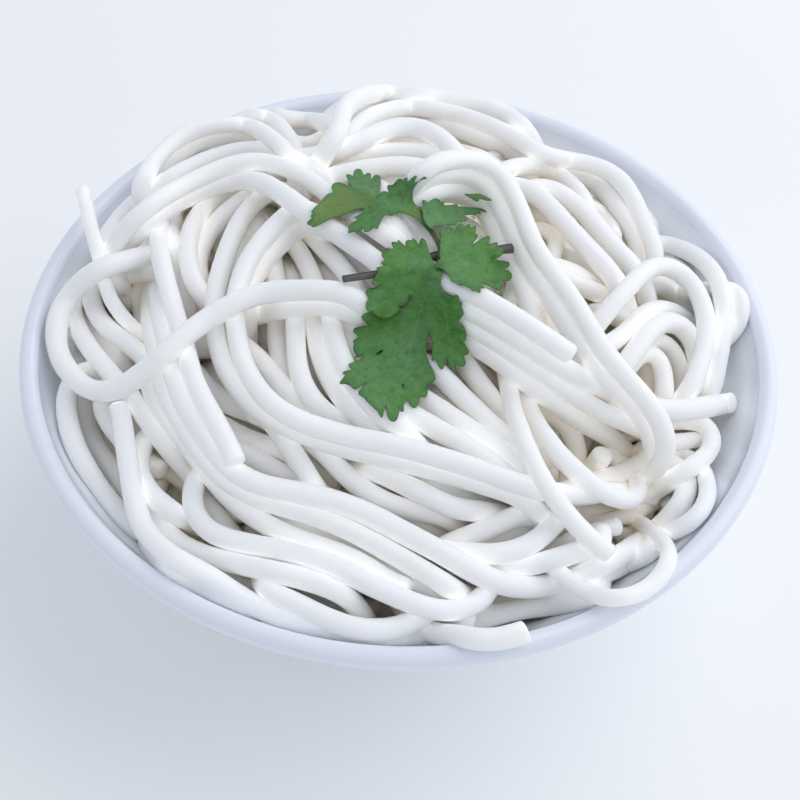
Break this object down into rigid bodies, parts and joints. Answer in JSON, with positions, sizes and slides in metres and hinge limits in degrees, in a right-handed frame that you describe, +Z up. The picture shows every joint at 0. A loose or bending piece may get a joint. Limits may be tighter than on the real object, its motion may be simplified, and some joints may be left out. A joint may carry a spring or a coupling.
{
  "type": "bowl of cooked thick rice noodles",
  "caption": "Round white glazed bowl heaped with cooked thick round rice noodles, garnished with a sprig of fresh coriander.",
  "frame": {"origin": "on the table, at the middle of the bowl's foot ring", "axes": "+Z up along the bowl's axis; -Y is the side that faces the viewer, +X to the viewer's right"},
  "size_m": [0.19, 0.19, 0.091],
  "materials": {
    "bowl_glaze": "cool white glaze, slightly worn on the lip",
    "noodle": "moist, slightly translucent white rice dough",
    "herb": "fresh coriander leaf, satin, with a dark purple-green main stalk"
  },
  "bodies": {
    "root": {"bowl": "bowl_glaze", "noodles": "noodle", "coriander_sprig": "herb"}
  },
  "joints": []
}
